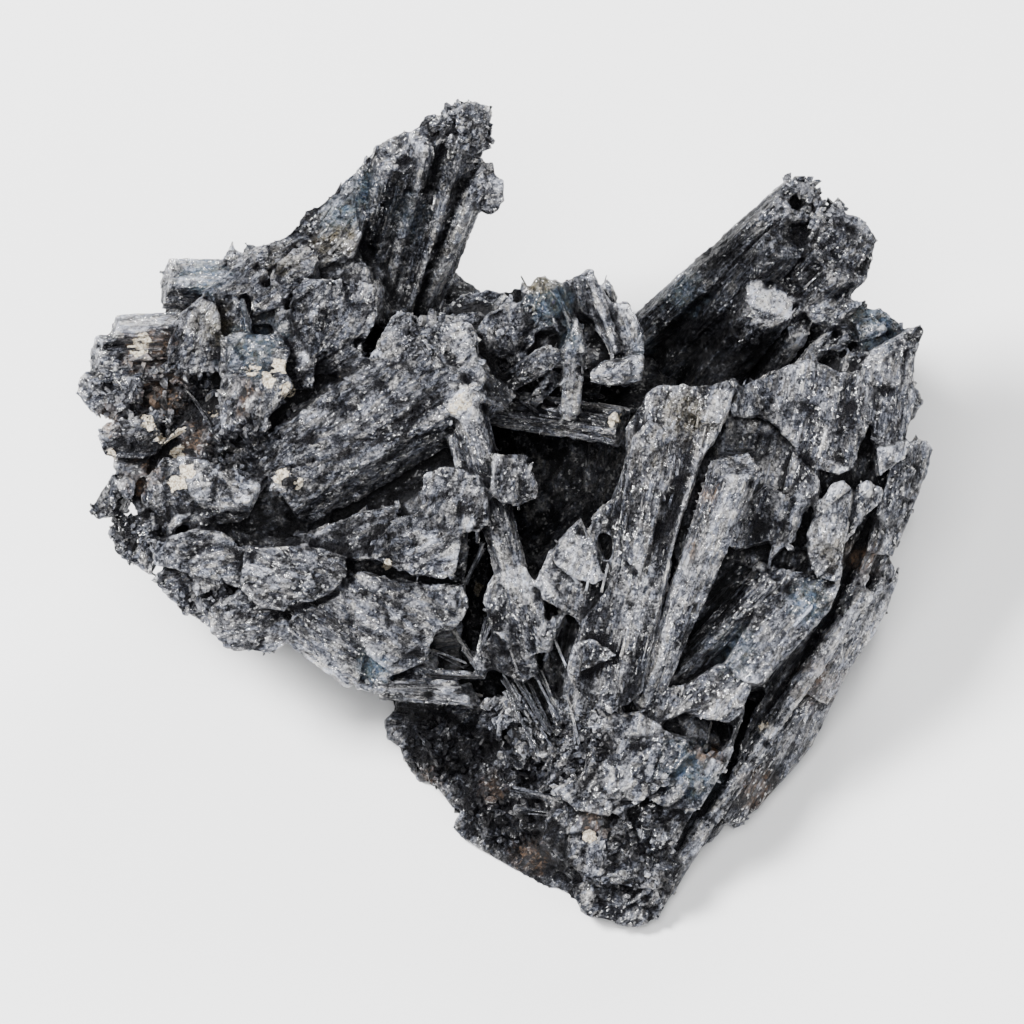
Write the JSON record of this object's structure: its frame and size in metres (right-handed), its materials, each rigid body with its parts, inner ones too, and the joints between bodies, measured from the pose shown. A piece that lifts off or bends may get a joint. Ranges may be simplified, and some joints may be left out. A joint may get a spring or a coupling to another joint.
{
  "type": "manganite crystal cluster",
  "caption": "Cluster of grown-together, striated dark prisms that fan out from a broken back, with hollows between them; it lies on its flat back.",
  "frame": {"origin": "middle of the base, level with the flat broken back that it lies on", "axes": "+X along the longest way across the showing face, +Y up that face, +Z up from the surface it lies on"},
  "size_m": [0.0614, 0.0536, 0.0302],
  "materials": {
    "manganite": "dull metallic, striated"
  },
  "bodies": {
    "root": {"manganite_cluster": "manganite"}
  },
  "joints": []
}
